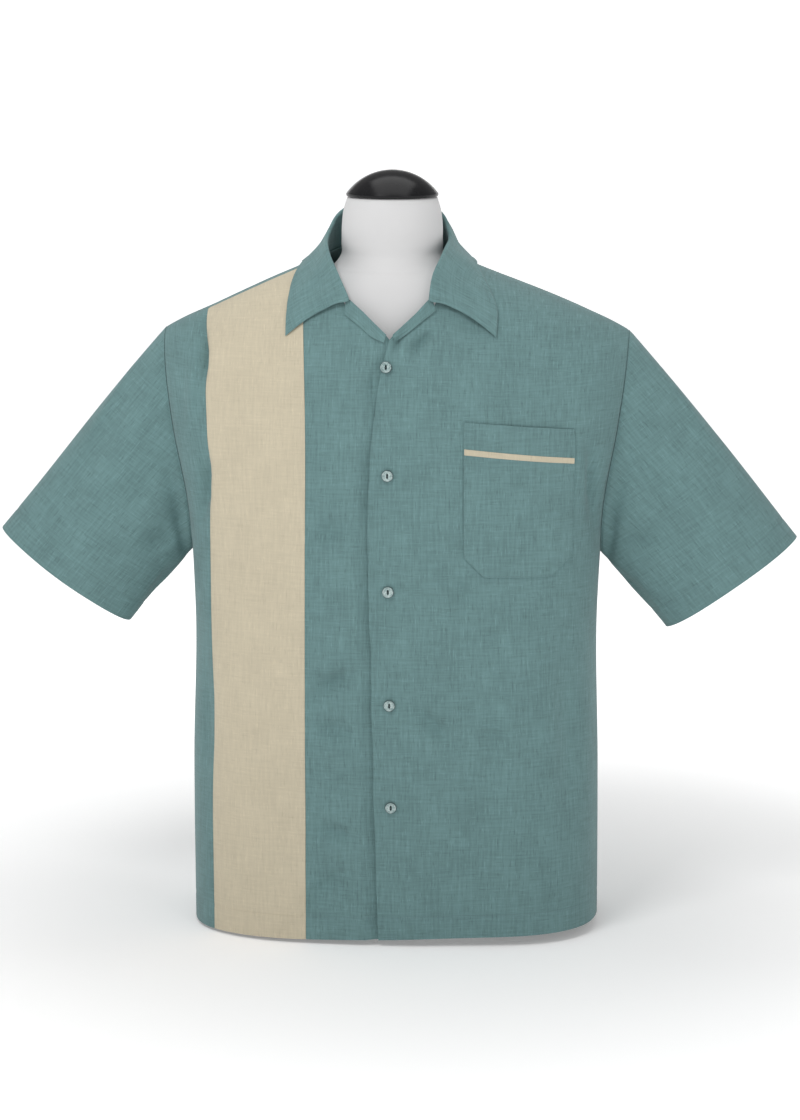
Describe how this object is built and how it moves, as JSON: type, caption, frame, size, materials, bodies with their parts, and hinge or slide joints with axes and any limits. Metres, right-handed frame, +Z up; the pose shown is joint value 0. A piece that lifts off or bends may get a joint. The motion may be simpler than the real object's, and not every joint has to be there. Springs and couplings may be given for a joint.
{
  "type": "bowling shirt on a dress form",
  "caption": "Short-sleeved open-collar bowling shirt with a contrast front panel and a chest pocket, worn by a limbless dress form with a domed neck cap.",
  "frame": {"origin": "centre of the form's flat base", "axes": "+Z up through the neck, the front of the shirt faces -Y, the wearer's left is at +X"},
  "size_m": [0.9494, 0.2775, 0.8992],
  "materials": {
    "teal_linen": "plain-woven slubby linen-look cloth, matte",
    "cream_linen": "plain-woven slubby linen-look cloth, matte",
    "pearl_button": "pearly polyester, polished",
    "form_cover": "smooth white moulded shell, matte",
    "cap_lacquer": "smooth black lacquer, glossy"
  },
  "bodies": {
    "root": {"back": "teal_linen", "front_left": "teal_linen", "front_right_centre": "teal_linen", "front_right_contrast": "cream_linen", "front_right_side": "teal_linen", "sleeve_left": "teal_linen", "sleeve_right": "teal_linen", "collar": "teal_linen", "facing_left": "teal_linen", "facing_right": "teal_linen", "pocket": "teal_linen", "pocket_trim": "cream_linen", "button_1": "pearl_button", "button_2": "pearl_button", "button_3": "pearl_button", "button_4": "pearl_button", "button_5": "pearl_button", "form_body": "form_cover", "form_cap": "cap_lacquer"}
  },
  "joints": []
}
